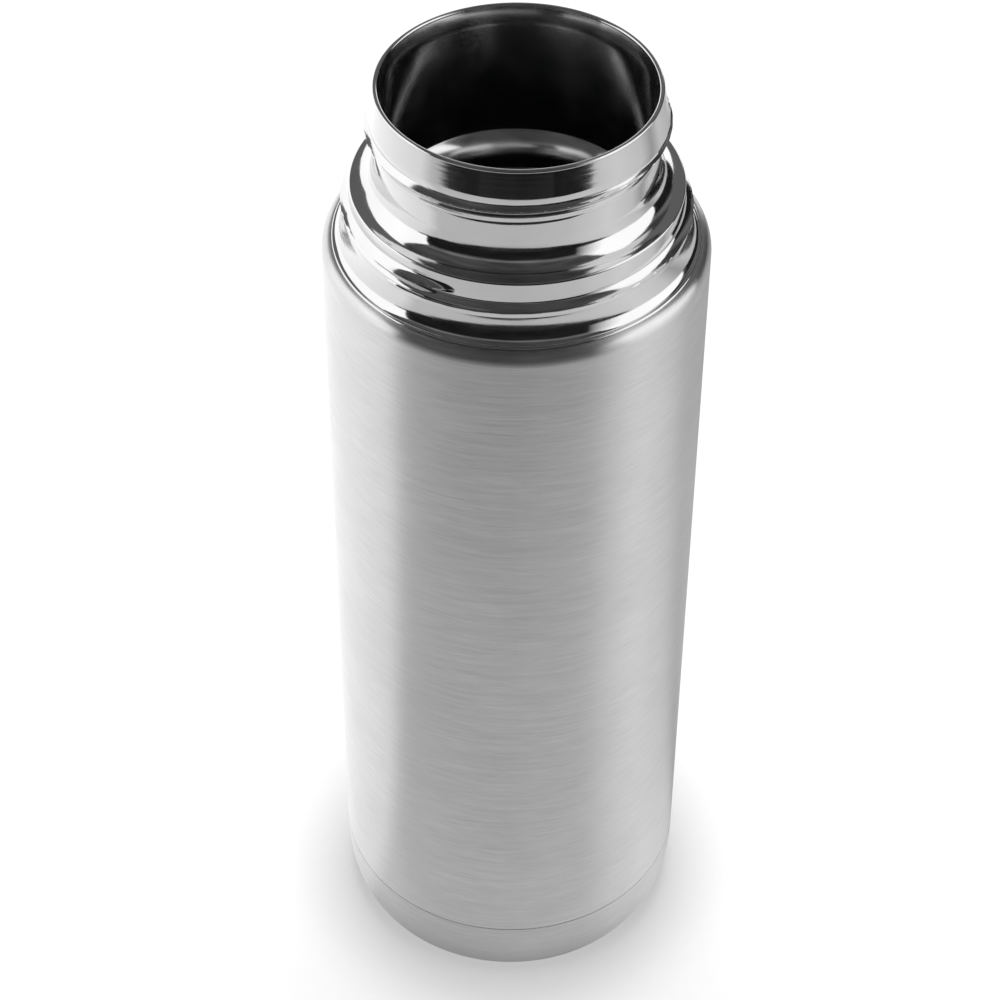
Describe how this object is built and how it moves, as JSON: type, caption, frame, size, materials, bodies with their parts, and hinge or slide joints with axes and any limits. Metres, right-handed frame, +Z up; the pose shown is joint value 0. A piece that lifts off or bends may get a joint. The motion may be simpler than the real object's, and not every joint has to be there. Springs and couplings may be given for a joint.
{
  "type": "vacuum flask",
  "caption": "Open double-wall stainless steel vacuum flask body: brushed cylindrical shell, flush base cover and a polished, stepped neck with rolled outside threads.",
  "frame": {"origin": "centre of the base, on the surface the flask stands on", "axes": "+Z up along the flask's axis, towards the mouth; -Y is the front"},
  "size_m": [0.07, 0.07, 0.203],
  "materials": {
    "brushed_steel": "brushed round the body",
    "polished_steel": "mirror polished",
    "liner_steel": "electropolished",
    "plain_steel": "drawn, unpolished",
    "weld_steel": "as welded",
    "seal_glass": "fused",
    "adhesive": "cured adhesive",
    "copper": "bright foil",
    "getter_metal": "sintered"
  },
  "bodies": {
    "root": {"outer_shell": "brushed_steel", "base_cover": "brushed_steel", "threaded_neck": "polished_steel", "lip_weld": "polished_steel", "inner_liner": "liner_steel", "liner_bottom": "liner_steel", "vacuum_base": "plain_steel", "shoulder_weld": "weld_steel", "liner_weld": "weld_steel", "base_weld": "weld_steel", "sealing_glass": "seal_glass", "adhesive_ring": "adhesive", "copper_foil": "copper", "getter_pill": "getter_metal", "getter_strap": "plain_steel"}
  },
  "joints": []
}
